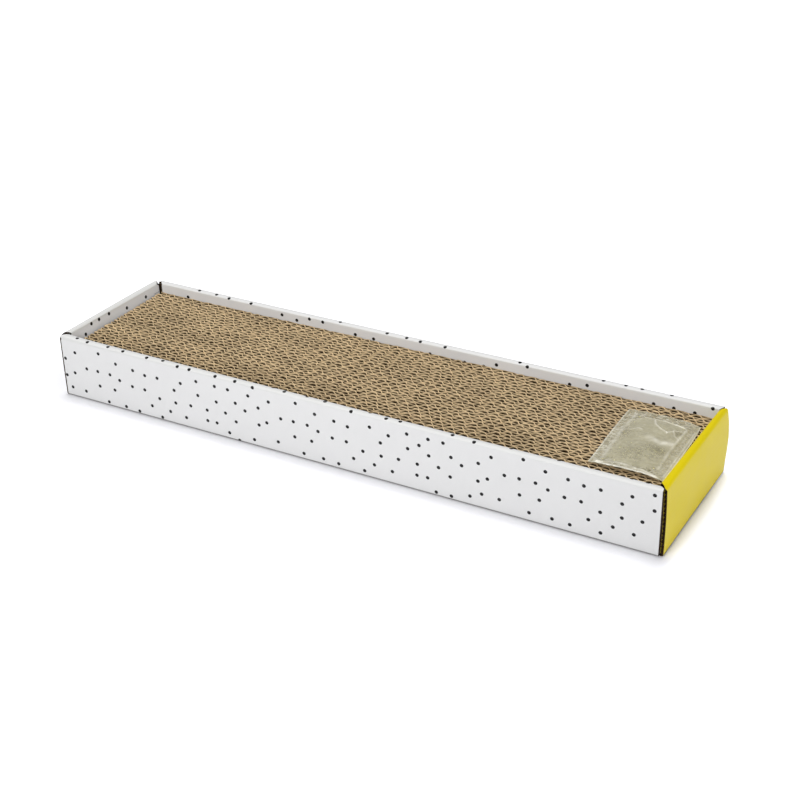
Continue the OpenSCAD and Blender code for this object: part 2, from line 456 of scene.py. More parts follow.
def write_mesh(name: str, shape: Shape, materials: list[Material], tones: list[float] | None = None) -> Mesh:
    """Writes a shape in millimetres to a mesh in metres, and frees it.

    Args:
        name: Name of the mesh.
        shape: The shape.
        materials: The mesh's materials.
        tones: Value of the tone attribute for each vertex.

    Returns:
        The mesh.
    """
    bmesh.ops.scale(shape, vec=(MM, MM, MM), verts=shape.verts[:])
    mesh = bpy.data.meshes.new(name)
    shape.to_mesh(mesh)
    shape.free()
    if tones:
        mesh.attributes.new("tone", "FLOAT", "POINT").data.foreach_set("value", tones)
    for material in materials:
        mesh.materials.append(material)
    return mesh


def add_object(name: str, data: bpy.types.ID) -> bpy.types.Object:
    """Puts a new object in the scene.

    Args:
        name: Name of the object.
        data: Its mesh, lamp or camera.

    Returns:
        The object.
    """
    made = bpy.data.objects.new(name, data)
    bpy.context.scene.collection.objects.link(made)
    return made


def place_piece(mesh: Mesh, body: str, node: str) -> bpy.types.Object:
    """Puts a finished mesh in the scene and ties it to the frame.

    Args:
        mesh: The piece's mesh, which names it.
        body: The body that it moves with.
        node: The CAD node that it stands for.

    Returns:
        The piece.
    """
    piece = add_object(mesh.name, mesh)
    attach(piece, body)
    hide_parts(node)
    LOG.info("%s: %d faces on %s", piece.name, len(mesh.polygons), body)
    return piece


def append_shape(target: Shape, source: Shape) -> None:
    """Adds one shape to another and frees it.

    Args:
        target: The shape that grows.
        source: The shape that is added.
    """
    carrier = bpy.data.meshes.new("carrier")
    source.to_mesh(carrier)
    source.free()
    target.from_mesh(carrier)
    bpy.data.meshes.remove(carrier)


# Tray


@dataclass(frozen=True)
class Station:
    """One bend line across a wall's blank: its place along the print, and where its two faces lie."""

    along: float
    printed: Point
    kraft: Point


@dataclass(frozen=True)
class WallSection:
    """Section of a folded wall, from the floor up, over the rim and down inside, with its board's layers."""

    height: float
    thickness: float
    board: float
    run: float
    outer_fall: float
    inner_fall: float
    power: float
    liner: float = 0.3
    medium: float = 0.22
    fold_radius: float = 1.2
    fold_steps: int = 5
    rim_steps: int = 8

    def _rim(self, near: float, far: float, crown: float, share: float) -> list[Point]:
        """Lists the points of one face of the rim, as places inwards with heights.

        Args:
            near: Place of the face on the outer ply.
            far: Place of the face on the inner ply.
            crown: Height of its top.
            share: Size of its curves beside those of the printed face.

        Returns:
            The points, from the outer crease to the inner one.
        """
        points = []
        run = self.run * share
        for step in range(2 * self.rim_steps + 1):
            turn = math.pi / 2 * min(step, 2 * self.rim_steps - step) / self.rim_steps
            across, up = 1 - math.cos(turn) ** (2 / self.power), math.sin(turn) ** (2 / self.power)
            if step <= self.rim_steps:
                points.append((near + run * across, crown + share * self.outer_fall * (up - 1)))
            else:
                points.append((far - (far - near - run) * across, crown + share * self.inner_fall * (up - 1)))
        return points

    def stations(self) -> list[Station]:
        """Lists the bend lines across the blank.

        Returns:
            The stations, from the blank's lower edge to its inner one.
        """
        near, far = self.board, self.thickness - self.board
        outside = [(near, 0.0)]
        for step in range(self.fold_steps + 1):
            turn = math.pi / 2 * step / self.fold_steps
            outside.append((self.fold_radius * (1 - math.sin(turn)), self.fold_radius * (1 - math.cos(turn))))
        inside = [(near, near)] * len(outside)
        outside += self._rim(0, self.thickness, self.height, 1)
        inside += self._rim(near, far, self.height - near, (far - near) / self.thickness)
        outside.append((self.thickness, near))
        inside.append((far, near))
        along, result = 0.0, []
        for i, point in enumerate(outside):
            along += math.dist(outside[max(i - 1, 0)], point)
            result.append(Station(along, point, inside[i]))
        return result

    @property
    def crease(self) -> int:
        """Number of the station at the outer crease of the rim."""
        return self.fold_steps + 2

    @property
    def inner_crease(self) -> int:
        """Number of the station at the inner crease of the rim."""
        return self.crease + 2 * self.rim_steps


class Side(Enum):
    """Side of the tray that a wall stands on: its outward direction, and its run along the print."""

    FRONT = ((0, -1), (1, 0))
    BACK = ((0, 1), (-1, 0))
    LEFT = ((-1, 0), (0, -1))
    RIGHT = ((1, 0), (0, 1))


@dataclass(frozen=True)
class Settling:
    """How a real wall differs from the drawn one.

    The lifts and the corner raise its crown, the swells, the foot and the out value push its face out, the
    leans tilt its inner ply outwards, and the wave makes it uneven. The end's own swell, top and foot act
    only towards the far end of the wall's run.
    """

    lift_start: float = 0.0
    lift_middle: float = 0.0
    lift_end: float = 0.0
    swell: float = 0.0
    foot: float = 0.0
    wave: float = 0.15
    corner: float = 0.0
    corner_reach: float = 10.0
    lean_start: float = 0.0
    lean_end: float = 0.0
    lean_from: float = 37.0
    lean_margin: float = 2.0
    out: float = 0.0
    start_reach: float = 8.0
    end_swell: float = 0.0
    end_top: float = 0.0
    end_foot: float = 0.0


@dataclass
class FoldedWall:
    """A wall of the tray: one sheet of printed board that is folded over its rim.

    Its spans give the blank's half width at places along the print, for the start and the end of its run.
    """

    name: str
    side: Side
    section: WallSection
    reach: float
    spans: tuple[list[Point], list[Point]]
    dots: list[Point]
    settling: Settling
    tabs: tuple[Point, ...] = ()
    tab_depth: float = 0.0
    dot_radius: float = 1.385
    cut_pitch: float = 14.0
    face_cuts: int = 5

    def __post_init__(self) -> None:
        """Works out the stations and the free length of the blank."""
        self.stations = self.section.stations()
        last = self.stations[-1]
        self.end = last.along
        self.half = max(wide for spans in self.spans for _, wide in spans)
        if self.tabs:
            drop = self.tab_depth
            printed, kraft = ((x, z - drop) for x, z in (last.printed, last.kraft))
            self.stations.append(Station(last.along + drop, printed, kraft))
        self.last = self.stations[-1].along

    # The blank

    def span(self, along: float, side: int) -> float:
        """Gives how far the blank reaches from its middle.

        Args:
            along: Distance along the print from the lower edge.
            side: Its end, -1 or 1.

        Returns:
            The distance to that end.
        """
        spans = self.spans[side > 0]
        for (a, wide), (b, narrow) in zip(spans, spans[1:]):
            if along <= b:
                return wide + (narrow - wide) * (along - a) / max(b - a, 1e-9)
        return spans[-1][1]

    def _cut(self, flat: Shape, place: Point, normal: Point, faces: Faces = (), clear: bool = False) -> None:
        """Cuts the blank along a line.

        Args:
            flat: The blank.
            place: A point of the line.
            normal: Direction square to the line.
            faces: The faces to cut, or nothing for all.
            clear: Whether what lies on the normal's side goes.
        """
        faces = faces or flat.faces[:]
        geom = [*{v for f in faces for v in f.verts}, *{e for f in faces for e in f.edges}, *faces]
        bmesh.ops.bisect_plane(
            flat, geom=geom, dist=1e-5, plane_co=(*place, 0), plane_no=(*normal, 0), clear_outer=clear
        )

    def _trim(self, flat: Shape) -> None:
        """Cuts a blank to its outline and along all its bend lines.

        Args:
            flat: The blank, still too large all round.
        """
        self._cut(flat, (0, 0), (0, -1), clear=True)
        self._cut(flat, (0, self.last), (0, 1), clear=True)
        turns = {a for spans in self.spans for a, _ in spans if 0 < a < self.last}
        lines = sorted({s.along for s in self.stations} | turns)
        for along in lines[1:-1]:
            self._cut(flat, (0, along), (0, 1))
        for low, high in zip(lines, lines[1:]):
            for side in (-1, 1):
                near, far = self.span(low + 1e-6, side), self.span(high - 1e-6, side)
                band = [f for f in flat.faces if low < f.calc_center_median().y < high]
                if band:
                    self._cut(flat, (side * near, low), (side * (high - low), near - far), band)
        middles = [(f, f.calc_center_median()) for f in flat.faces]
        outside = [f for f, at in middles if abs(at.x) > self.span(at.y, 1 if at.x > 0 else -1)]
        bmesh.ops.delete(flat, geom=outside, context="FACES")
        for tab in self.tabs:
            for place in tab:
                self._cut(flat, (place, 0), (1, 0))
        middles = [(f, f.calc_center_median()) for f in flat.faces]
        loose = [f for f, at in middles if at.y > self.end and not any(a < at.x < b for a, b in self.tabs)]
        bmesh.ops.delete(flat, geom=loose, context="FACES")
        count = math.ceil(2 * self.half / self.cut_pitch)
        for i in range(1, count):
            self._cut(flat, (self.half * (2 * i / count - 1), 0), (1, 0))
        high = self.stations[self.section.crease].along
        for i in range(1, self.face_cuts):
            self._cut(flat, (0, high * i / self.face_cuts), (0, 1))
        bmesh.ops.remove_doubles(flat, verts=flat.verts[:], dist=1e-4)

    def _liner(self, top: float, dots: list[Point]) -> Shape:
        """Makes one liner of the blank, with its dots as faces of their own.

        Args:
            top: Depth of the liner's upper face below the print.
            dots: Centres of the dots.

        Returns:
            The liner, flat, with the ink as material 1.
        """
        flat = bmesh.new()
        radius = self.dot_radius
        room = 2 * radius
        margin = 1.5 * room
        half = self.half + margin
        low, high = -margin, self.last + margin
        outline = ((-half, low), (half, low), (half, high), (-half, high))
        corners = [flat.verts.new((x, y, 0)) for x, y in outline]
        for i, corner in enumerate(corners):
            flat.edges.new((corner, corners[(i + 1) % 4]))
        for x, y in dots:
            if abs(x) < half - room and low + room < y < high - room:
                place = Matrix.Translation((x, y, 0))
                bmesh.ops.create_circle(flat, cap_ends=True, segments=12, radius=radius, matrix=place)
        for face in flat.faces:
            face.material_index = 1
        bmesh.ops.triangle_fill(flat, use_beauty=True, edges=flat.edges[:], normal=(0, 0, 1))
        for face in flat.faces:
            if face.normal.z < 0:
                face.normal_flip()
        self._trim(flat)
        made = bmesh.ops.extrude_face_region(flat, geom=flat.faces[:], use_keep_orig=True)
        moved = [g for g in made["geom"] if isinstance(g, bmesh.types.BMVert)]
        bmesh.ops.translate(flat, verts=moved, vec=(0, 0, -self.section.liner))
        bmesh.ops.recalc_face_normals(flat, faces=flat.faces[:])
        flat.normal_update()
        for face in flat.faces:
            if face.normal.z < 0.5:
                face.material_index = 2
        bmesh.ops.translate(flat, verts=flat.verts[:], vec=(0, 0, -top))
        return flat

    def _medium(self) -> Shape:
        """Makes the fluted paper between the liners: all of it in an end wall, and its ends in a long one.

        Returns:
            The paper, flat, as material 2.
        """
        flat = bmesh.new()
        board = self.section
        rise = board.board - 2 * board.liner - board.medium
        if self.side in (Side.LEFT, Side.RIGHT):
            length, width = self.last + 2, 2 * (self.half + 1)
            places = [(0.0, 0.0)]
        else:
            length, width = 6 * FLUTE_PITCH, self.last + 2
            places = [(side * (self.half + 1 - length / 2), math.pi / 2) for side in (-1, 1)]
        segments = math.ceil(length / FLUTE_PITCH * 8)
        for x, turn in places:
            # The grid's own Y runs across the flutes
            sheet = bmesh.new()
            bmesh.ops.create_grid(sheet, x_segments=1, y_segments=segments, size=0.5)
            bmesh.ops.scale(sheet, vec=(width, length, 1), verts=sheet.verts[:])
            for vert in sheet.verts:
                vert.co.z = rise / 2 * math.sin(2 * math.pi * vert.co.y / FLUTE_PITCH)
            sheet.normal_update()
            bmesh.ops.solidify(sheet, geom=sheet.faces[:], thickness=board.medium)
            place = Matrix.Translation((x, self.last / 2, -board.board / 2)) @ Matrix.Rotation(turn, 4, "Z")
            bmesh.ops.transform(sheet, matrix=place, verts=sheet.verts[:])
            append_shape(flat, sheet)
        self._trim(flat)
        bmesh.ops.recalc_face_normals(flat, faces=flat.faces[:])
        for face in flat.faces:
            face.material_index = 2
        return flat

    # The folded wall

    def _fold(self, x: float, y: float, z: float) -> Vector:
        """Moves a point of the blank to its place in the tray.

        Args:
            x: Place along the wall.
            y: Place along the print.
            z: Height over the print.

        Returns:
            The place, in millimetres.
        """
        along = min(max(y, 0.0), self.last)
        index = next(i for i in range(1, len(self.stations)) if along <= self.stations[i].along + 1e-4)
        a, b = self.stations[index - 1], self.stations[index]
        share = unit((along - a.along) / max(b.along - a.along, 1e-9))
        printed = Vector(a.printed).lerp(Vector(b.printed), share)
        kraft = Vector(a.kraft).lerp(Vector(b.kraft), share)
        inward, up = self._settle(x, along, *printed.lerp(kraft, -z / self.section.board))
        out, run = self.side.value
        return Vector((*(Vector(out) * (self.reach - inward) + Vector(run) * x), up))

    def _settle(self, across: float, along: float, inward: float, up: float) -> Point:
        """Gives a wall the small irregularities of a folded one.

        Args:
            across: Place along the wall.
            along: Place along the print.
            inward: Distance inwards from the outer face.
            up: Height over the floor.

        Returns:
            The settled distance inwards and height.
        """
        given = self.settling
        where = across / self.half
        from_start = across + self.half
        lift = given.lift_middle + (given.lift_end - given.lift_start) / 2 * where
        lift += ((given.lift_end + given.lift_start) / 2 - given.lift_middle) * where * where
        lift += given.corner * math.exp(-from_start / given.corner_reach)
        high = up / self.section.height
        crease = self.stations[self.section.crease]
        end = max(0.0, (where + 1) / 2) ** 2
        out = given.out * (1 - 0.8 * math.exp(-from_start / given.start_reach))
        if along < crease.along:
            share = min(up / crease.printed[1], 1)
            bulge = given.swell * math.sin(math.pi * share) * (1 - 0.5 * where**4)
            outward = out + bulge + given.foot * (1 - share)
            outward += end * given.end_swell * math.sin(math.pi * share**1.5)
            outward += end * (given.end_top * share**3 + given.end_foot * (1 - share))
        else:
            past = unit(inward / self.section.thickness)
            over = min((along - crease.along) / 3, 1)
            lean = given.lean_start + (given.lean_end - given.lean_start) * (where + 1) / 2
            tall = self.section.height - given.lean_margin - given.lean_from
            outward = lean * past * over * unit((up - given.lean_from) / tall)
            outward += out * (1 - past) + given.end_top * end * (1 - past) ** 3
        slow = wander(across / 70, along / 45, self.reach)
        return inward - outward - given.wave * slow * min(high * 3, 1), up + lift * high

    def build(self, materials: list[Material]) -> Mesh:
        """Folds the blank into the wall.

        Args:
            materials: Print, ink and kraft.

        Returns:
            The wall's mesh, in metres.
        """
        whole = self._liner(0.0, self.dots)
        append_shape(whole, self._liner(self.section.board - self.section.liner, []))
        append_shape(whole, self._medium())
        whole.normal_update()
        # Faces that lie flat on the blank get the curve's normals, the raw edges keep their own
        sides = [round(f.normal.z) if abs(f.normal.z) > 0.99 else 0 for f in whole.faces]
        normals = []
        up_step, side_step = 0.01, 0.5
        for vert in whole.verts:
            x, y, z = vert.co
            up = self._fold(x, min(y + up_step, self.last), z) - self._fold(x, max(y - up_step, 0), z)
            sideways = self._fold(x + side_step, y, z) - self._fold(x - side_step, y, z)
            normals.append(sideways.cross(up).normalized())
            vert.co = self._fold(x, y, z)
        for face in whole.faces:
            face.smooth = True
        mesh = write_mesh(self.name, whole, materials)
        loops = []
        for polygon, side in zip(mesh.polygons, sides):
            loops += [normals[vertex] * side if side else polygon.normal for vertex in polygon.vertices]
        mesh.normals_split_custom_set(loops)
        return mesh


@dataclass(frozen=True)
class DotPrint:
    """The printed dots: a tile that repeats along the blank, and the dots that break its rule.

    A dot of the tile is given by its place along the print and its depth below the crown, a stray one by its
    place along the wall and its height, and one past a crease by its place along the wall and its distance
    from the crease.
    """

    repeat: float = 174.6
    origin: float = 174.9
    stretch: float = 1.044
    rise: float = 1.7
    skew: float = 0.0102
    shift: float = 0.43
    squeeze: float = 0.0034
    near: float = 3.0
    margin: float = 3.0
    crown: float = 48.6
    drifts: tuple[tuple[float, float, float, float], ...] = (
        (2.74, 0.0162, -1.5, -0.0091), (0.03, 0.0013, 0.03, -0.0059), (-1.83, 0.0097, 1.5, -0.0076),
    )
    tile: tuple[Point, ...] = (
        (0, 4.0), (3.7, 19.0), (3.5, 32.4), (12.85, 12.1), (10.35, 29.0), (6.3, 41.5), (19.1, 42.0),
        (22.5, 22.9), (33.0, 22.6), (44.5, 22.6), (35.6, 7.75), (51.1, 12.5), (66.7, 14.0), (77.5, 15.6),
        (33.5, 34.4), (47.5, 34.4), (53.2, 25.25), (64.7, 27.5), (76.1, 27.5), (40.5, 45.75), (56.7, 45.75),
        (69.1, 46.5), (81.5, 39.1), (90.1, 46.4), (98.1, 39.75), (89.2, 31.5), (103.7, 31.5), (95.1, 11.5),
        (109.7, 14.4), (103.35, 21.4), (117.2, 30.5), (112.2, 41.25), (124.0, 9.5), (124.5, 20.4),
        (131.7, 30.4), (131.35, 38.9), (139.5, 38.75), (140.1, 9.5), (140.5, 21.75), (151.35, 9.4),
        (147.85, 28.75), (157.2, 18.6), (156.6, 33.6), (165.1, 22.75), (146, 48), (157.5, 48),
        (171.35, 44.1),
    )
    missing: tuple[Point, ...] = (
        (3.4, 31), (3.6, 17.5), (95.4, 38.5), (146.3, 1), (157.8, 1), (181.2, 8.5), (349.6, 47.5),
        (444.6, 41),
    )
    strays: tuple[Point, ...] = (
        (2.4, 31.1), (1.8, 17), (89.5, 35.3), (151.5, 5.2), (160, 1), (170.2, 40.6), (307.6, 36.6),
        (437.4, 38.7),
    )
    front_rim: tuple[Point, ...] = (
        (14.8, 3.1), (25.3, 2.0), (44.4, 2.6), (58.7, 2.1), (80.9, 1.9), (94.8, 3.1), (109, 1.1),
        (119.5, 1.2), (142.4, 1.1), (159.4, 1.2), (189.2, 5.5), (199.8, 3.4), (217.9, 4.7), (232.7, 3.9),
        (255.1, 0.9), (268.1, 5), (281.8, 2.6), (292.3, 3.3), (331.7, 3), (348.1, 1.6), (373.3, 5),
        (406.6, 5.3), (428.7, 6.2), (455.4, 5.6), (466.1, 5.5),
    )
    back_rim: tuple[Point, ...] = (
        (45.6, 4), (62.4, 4.3), (75, 5.3), (96, 5.4), (176.9, 3.5), (218.3, 4.5), (235.2, 4.7), (247, 5.3),
        (267.6, 5.2), (327.4, 3.9), (391.2, 3.4), (407.8, 3.2), (419.7, 3.1), (440.9, 2.8),
    )
    long_inside: tuple[Point, ...] = (
        (35, 12.5), (125.3, 9.2), (138.8, 11), (150.5, 7.5), (162.5, 7.5), (191.3, 11.8), (207.3, 12),
        (309.8, 10.4), (334, 6.5), (367, 12.8), (380.2, 10.5), (429.5, 13.2), (444, 13.1), (458.9, 13.1),
        (471, 6.9), (255.5, 13.8), (284.2, 14.2), (299.7, 13.9),
    )
    end_inside: tuple[Point, ...] = (
        (21.4, 6.2), (30.2, 1.3), (39.1, 1.3), (50.9, 1.3), (71.4, 4.5), (95.3, 4.5),
    )

    def face(self, half: float, crease: float) -> list[Point]:
        """Places the dots of an outer face.

        Args:
            half: Half the tray's length.
            crease: Place of the outer crease along the print.

        Returns:
            Places across the wall and along the print.
        """
        dots = [(x - half, crease - self.crown + z) for x, z in self.strays]
        for turn, drift in zip(range(-2, 3), (0, 0, 1, 2, 2)):
            shift, widening, lift, tilt = self.drifts[drift]
            for x, depth in self.tile:
                place = self.origin + turn * self.repeat + x
                place += self.shift - self.squeeze * place
                below = self.stretch * depth - self.rise - self.skew * place
                if any(math.dist((place, self.crown - below), gap) < self.near for gap in self.missing):
                    continue
                across = place - half
                place += shift + widening * across
                below -= lift + tilt * across
                if -self.margin < place < 2 * half + self.margin:
                    dots.append((place - half, crease - below))
        return dots

    def past(self, dots: tuple[Point, ...], half: float, start: float, side: int = 1) -> list[Point]:
        """Places dots past a crease at start, on a blank that runs the wall's way (side 1) or against it."""
        return [(side * (x - half), start + over) for x, over in dots]


class Tray:
    """The folded tray: four walls over the base panel, with the flaps that are tucked inside its ends."""

    mitre_play = 0.3
    ply_end_gap = 2.4
    end_ply_gap = 1.2
    corner_gap = 3.6
    rim_cut = 3.2
    ply_step = 1.2
    tabs = ((-36.0, -18.0), (18.0, 36.0))
    flaps = ("front_left_flap", "front_right_flap", "back_left_flap", "back_right_flap")

    def __init__(self, effects: Effects) -> None:
        """Reads the tray's sizes from the frame.

        Args:
            effects: The shared node groups.
        """
        self.effects = effects
        low, high = (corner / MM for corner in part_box("front_wall"))
        end_low, end_high = (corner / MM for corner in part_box("right_end_wall"))
        base_low, base_high = (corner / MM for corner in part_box("base_panel"))
        self.board = base_high.z - base_low.z
        self.half_length, self.half_depth, self.height = end_high.x, -low.y, end_high.z
        self.long_thickness, self.end_thickness = high.y - low.y, end_high.x - end_low.x
        self.outer_half, self.end_outer_half = base_high.x, end_high.y

    def _spans(self, section: WallSection, outer: float, corner: float, inner: float) -> list[Point]:
        """Lists how wide the blank is along the print.

        Args:
            section: The wall's section.
            outer: Half width of the outer ply.
            corner: Distance from the middle to the tray's corner, along the wall.
            inner: Half width of the inner ply.

        Returns:
            Places along the print with half widths.
        """
        stations = section.stations()
        spans = [(0.0, outer)]
        for station in stations[section.crease : section.inner_crease + 1]:
            spans.append((station.along, min(outer, corner - station.printed[0] - self.mitre_play)))
        return [*spans, (spans[-1][0] + self.ply_step, inner), (stations[-1].along + 10, inner)]

    def _walls(self) -> tuple[FoldedWall, ...]:
        """Draws the walls.

        Returns:
            The front, the back, the left and the right wall.
        """
        half, depth, outer = self.half_length, self.half_depth, self.outer_half
        thick, end_thick = self.long_thickness, self.end_thickness
        long = WallSection(self.height, thick, self.board, thick / 2, 1.4, 1.2, 2.0)
        # The left wall is rounded on top, and the right one is flatter
        left = WallSection(self.height, end_thick, self.board, 4.3, 4.0, 1.8, 1.4)
        right = WallSection(self.height, end_thick, self.board, 4.6, 2.0, 1.2, 1.8)
        inner, far_inner = half - end_thick - self.ply_end_gap, half - thick
        end_inner = depth - thick - self.end_ply_gap
        # The long walls' left ends lie over the left wall's edge
        front_left = self._spans(long, half - 0.4, half + 0.2, inner + 1.0)
        front_right = self._spans(long, outer, half, far_inner)
        back_right = self._spans(long, outer, half + 1.4, far_inner + 1.0)
        back_left = self._spans(long, outer - self.rim_cut, half - self.corner_gap, inner + 0.8)
        # The back wall's rim is cut shorter than its outer ply
        notch = back_left[1][0] - 0.8
        back_left[:1] = [(0.0, outer), (notch, outer), (notch + 0.4, outer - self.rim_cut)]
        left_far = self._spans(left, self.end_outer_half, depth, end_inner + 0.9)
        left_near = self._spans(left, depth - 0.5, depth, end_inner)
        right_both = self._spans(right, self.end_outer_half, depth, end_inner)
        crease = long.stations()[long.crease].along
        end_crease, end_fold = (left.stations()[i].along for i in (left.crease, left.inner_crease))
        dots = DotPrint()
        face = dots.face(half, crease)
        # The blanks of the back and the left wall run the other way
        front_dots = face + dots.past(dots.front_rim + dots.long_inside, half, crease)
        back_dots = face + dots.past(dots.back_rim + dots.long_inside, half, crease, -1)
        left_dots = [(x, y) for x, y in face if abs(x) < depth + 2 and y < end_crease - 1]
        left_dots += dots.past(dots.end_inside, depth, end_fold, -1)
        tabs = (self.tabs, self.board - left.liner)
        return (
            FoldedWall(
                "front_wall_board", Side.FRONT, long, depth, (front_left, front_right), front_dots,
                Settling(-0.3, -1.1, -1.1, wave=0.2, corner=1.0),
            ),
            FoldedWall(
                "back_wall_board", Side.BACK, long, depth, (back_right, back_left), back_dots,
                Settling(0.6, -0.1, 0.3, wave=0.2),
            ),
            FoldedWall(
                "left_end_board", Side.LEFT, left, half, (left_far, left_near), left_dots,
                Settling(
                    0.9, 1.2, 1.4, swell=-0.1, foot=-0.9, lean_start=1.5, lean_end=3.0, out=2.0,
                    end_swell=-0.35, end_top=-1.0,
                ), *tabs,
            ),
            FoldedWall(
                "right_end_board", Side.RIGHT, right, half, (right_both, right_both), [],
                Settling(
                    0.0, 0.2, 0.3, swell=0.9, foot=0.4, lean_start=1.1, lean_end=3.1, end_swell=1.5,
                    end_top=0.5, end_foot=0.8,
                ), *tabs,
            ),
        )

    def build(self) -> None:
        """Builds the walls and dresses the panels that stay from the CAD."""
        kraft = BOARD_KRAFT.material(self.effects)
        white = WHITE_PRINT.material(self.effects, Run.LONG)
        ink = DOT_INK.material(self.effects, Run.LONG)
        looks = (
            ("front_wall", "white_printed_board", FRONT_PRINT.material(self.effects, Run.LONG)),
            ("back_wall", "white_printed_board", white),
            ("left_end_wall", "white_printed_board", END_PRINT.material(self.effects, Run.END)),
            ("right_end_wall", "yellow_printed_board", YELLOW_PRINT.material(self.effects, Run.END)),
        )
        for wall, (node, slot, face) in zip(self._walls(), looks):
            place_piece(wall.build([face, ink, kraft]), "tray", node)
        for node in (*self.flaps, "base_panel"):
            dressed = bpy.data.objects[node].data.materials
            dressed.clear()
            dressed.append(kraft if node in self.flaps else white)


# Pad


@dataclass
class PadStrip:
    """One strip of the scratching pad: two papers with a crushed and uneven flute between them."""

    number: int
    low: Vector
    high: Vector
    half_depth: float
    pitch: float = 8.45
    liner: float = 0.34
    medium: float = 0.58
    sunken: float = 0.2
    frayed: float = 0.7
    crushed: float = 9.0
    lean: float = 0.55
    edge_tone: float = 0.92
    cell_shade_strength: float = 0.95
    side_tone: float = 0.5
    seed: int = 1000

    def _bends(self, draw: random.Random) -> list[Point]:
        """Draws the crests of the flute along the strip.

        Args:
            draw: Source of the strip's random numbers.

        Returns:
            Places along the strip with shares of the flute's rise.
        """
        bends = []
        place = self.low.x - draw.random() * self.pitch
        up = 0.0
        while place < self.high.x + self.pitch:
            crest = self.pitch * draw.uniform(0.1, 0.24)
            share = abs(up - draw.uniform(0.0, 0.1))
            bends += [(place, share), (place + crest, share)]
            place += crest + self.pitch * (0.33 + draw.uniform(-0.06, 0.06))
            up = 1.0 - up
        return bends

    def _rise(self, bends: list[Point], x: float) -> float:
        """Gives the share of the flute's rise at a place.

        Args:
            bends: The crests.
            x: Place along the strip.

        Returns:
            A share from 0 to 1.
        """
        for (a, low), (b, high) in zip(bends, bends[1:]):
            if x <= b:
                return low + (high - low) * (0.5 - 0.5 * math.cos(math.pi * unit((x - a) / max(b - a, 1e-6))))
        return 0.0

    def _fray(self, x: float, layer: int) -> float:
        """Gives how far a paper's edge is worn down.

        Args:
            x: Place along the strip.
            layer: The paper, 1 for the flute between the other two.

        Returns:
            The wear in millimetres.
        """
        sunk = self.sunken * unit(min(x - self.low.x, self.high.x - x) / 4) if layer != 1 else 0.0
        return self.frayed * max(0.0, 0.3 + wander(x / 5, self.number * 0.9, layer * 2.3)) + sunk

    def _outside(self, vert: bmesh.types.BMVert, layer: int) -> float:
        """Gives how plainly a place lies on the pad's own sides, which only show when the pad is lifted and
        carry no painted cell shade.

        Args:
            vert: A vertex of the strip.
            layer: The paper, 1 for the flute between the other two.

        Returns:
            A share from 0 to 1.
        """
        front = layer == 0 and self.low.y < 0.5 - self.half_depth and vert.normal.y < -0.5
        back = layer == 2 and self.high.y > self.half_depth - 0.5 and vert.normal.y > 0.5
        end = min(vert.co.x - self.low.x, self.high.x - vert.co.x) < 0.01
        return 1.0 if front or back else end * min((self.high.z - vert.co.z) / self.crushed, 1)

    def build(self, name: str, material: Material) -> Mesh:
        """Makes the strip.

        Args:
            name: Name of its mesh.
            material: The kraft paper.

        Returns:
            The strip's mesh, in metres.
        """
        draw = random.Random(self.seed + self.number)
        whole = bmesh.new()
        bends = self._bends(draw)
        tones: list[float] = []
        row_tone = draw.uniform(-0.05, 0.05)
        length = self.high.x - self.low.x
        # The rows lie closest at the worn top
        depths = (self.high.z - self.low.z, self.crushed, 2.2, 1.4, 0.9, 0.45, 0.0)
        rows = len(depths) - 1
        near, far = self.low.y + self.liner / 2, self.high.y - self.liner / 2
        for layer in range(3):
            waved = layer == 1
            paper, column, crush, start, reach = (
                (self.medium, 0.75, 0.3, 0.25, 0.85) if waved else (self.liner, 1.5, 0.12, 0.1, 0.6)
            )
            sheet = bmesh.new()
            bmesh.ops.create_grid(sheet, x_segments=math.ceil(length / column), y_segments=rows, size=0.5)
            for vert in sheet.verts:
                level = depths[round((vert.co.y + 0.5) * rows)]
                x = self.low.x + length * (vert.co.x + 0.5)
                top = max(0.0, 1 - level / self.crushed)
                y = far if layer == 2 else near
                if waved:
                    y += (self.liner + paper) / 2 + (far - near - self.liner - paper) * self._rise(bends, x)
                bend = wander(x / 9, self.number * 3.1 + layer * 0.7, 0.5)
                bent = 0.3 * bend + crush * wander(x / 2.4, self.number * 1.7 + layer * 5.3, 9.5)
                y = min(max(y + top * bent, near), far)
                # The strips lean together, less towards the pad's sides
                lean = wander(x / 26, y / 34, 5.2) + 0.6 * wander(x / 11, y / 19, 1.4)
                y += self.lean * top * lean * max(0.0, 1 - (abs(y) / self.half_depth) ** 4)
                vert.co = Vector((x, y, self.high.z - level - top * self._fray(x, layer)))
            sheet.normal_update()
            bmesh.ops.solidify(sheet, geom=sheet.faces[:], thickness=paper)
            bmesh.ops.recalc_face_normals(sheet, faces=sheet.faces[:])
            sheet.normal_update()
            for vert in sheet.verts:
                x, y, z = vert.co
                patch = 0.14 * wander(x / 38, self.number / 5, 3.3)
                fleck = wander(x / 3, y / 2, 6.1)
                fray = self._fray(x, layer)
                # Paper deep in the cells is darkened as painted shade
                cell_shade = unit(((self.high.z - fray - z) / (1 - fray / self.crushed) - start) / reach)
                tone = self.edge_tone + row_tone + patch + 0.24 * fleck - 0.2 * fray - self.cell_shade_strength * cell_shade
                # The pad's outer sides keep a lighter tone, without the painted cell shade
                plain = self._outside(vert, layer) * (self.side_tone + patch + 0.1 * fleck)
                tones.append(min(max(tone, plain), 1))
            append_shape(whole, sheet)
        return write_mesh(name, whole, [material], tones)


